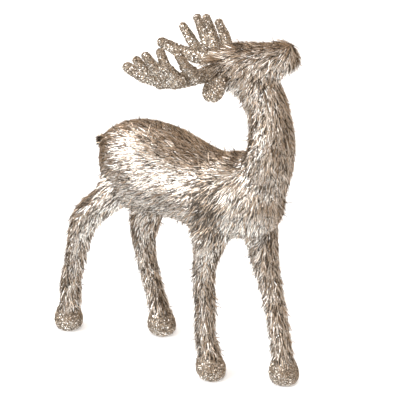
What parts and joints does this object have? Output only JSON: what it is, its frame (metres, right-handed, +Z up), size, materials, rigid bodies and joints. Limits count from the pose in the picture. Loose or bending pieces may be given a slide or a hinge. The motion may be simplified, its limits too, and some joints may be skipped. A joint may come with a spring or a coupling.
{
  "type": "tabletop tinsel reindeer",
  "caption": "Free-standing stag figure with a raised head: foam body over wire legs, coated in metallic tinsel, with push-in glittered antlers, ears and hooves.",
  "frame": {"origin": "centre of the underside of the box around the whole figure, on the floor it stands on", "axes": "+Z up; +X to the figure's front, the way its body faces; +Y to the figure's own left"},
  "size_m": [0.2971, 0.1444, 0.3763],
  "materials": {
    "tinsel": "polished",
    "tinsel_legs": "polished",
    "glitter": "gloss",
    "foam": "matte",
    "wire": "satin",
    "socket_plastic": "satin"
  },
  "bodies": {
    "figure": {"antler_socket_left": "socket_plastic", "antler_socket_right": "socket_plastic", "coat_head": "tinsel", "coat_leg_front_left": "tinsel_legs", "coat_leg_front_right": "tinsel_legs", "coat_leg_hind_left": "tinsel_legs", "coat_leg_hind_right": "tinsel_legs", "coat_neck": "tinsel", "coat_tail": "tinsel", "coat_torso": "tinsel", "ear_left": "glitter", "ear_right": "glitter", "head_core": "foam", "hoof_front_left": "glitter", "hoof_front_right": "glitter", "hoof_hind_left": "glitter", "hoof_hind_right": "glitter", "leg_core_front_left": "foam", "leg_core_front_right": "foam", "leg_core_hind_left": "foam", "leg_core_hind_right": "foam", "leg_wire_front_left": "wire", "leg_wire_front_right": "wire", "leg_wire_hind_left": "wire", "leg_wire_hind_right": "wire", "neck_core": "foam", "neck_rod": "wire", "tail_wire": "wire", "torso_core": "foam"},
    "antler_left": {"antler_left": "glitter"},
    "antler_right": {"antler_right": "glitter"}
  },
  "joints": [
    {"name": "antler_left_pull", "type": "slide", "parent": "figure", "child": "antler_left", "axis": [-0.7565, 0.4977, -0.4243], "range_m": [0, 0.01]},
    {"name": "antler_right_pull", "type": "slide", "parent": "figure", "child": "antler_right", "axis": [-0.3195, -0.8473, -0.4243], "range_m": [0, 0.01]}
  ]
}
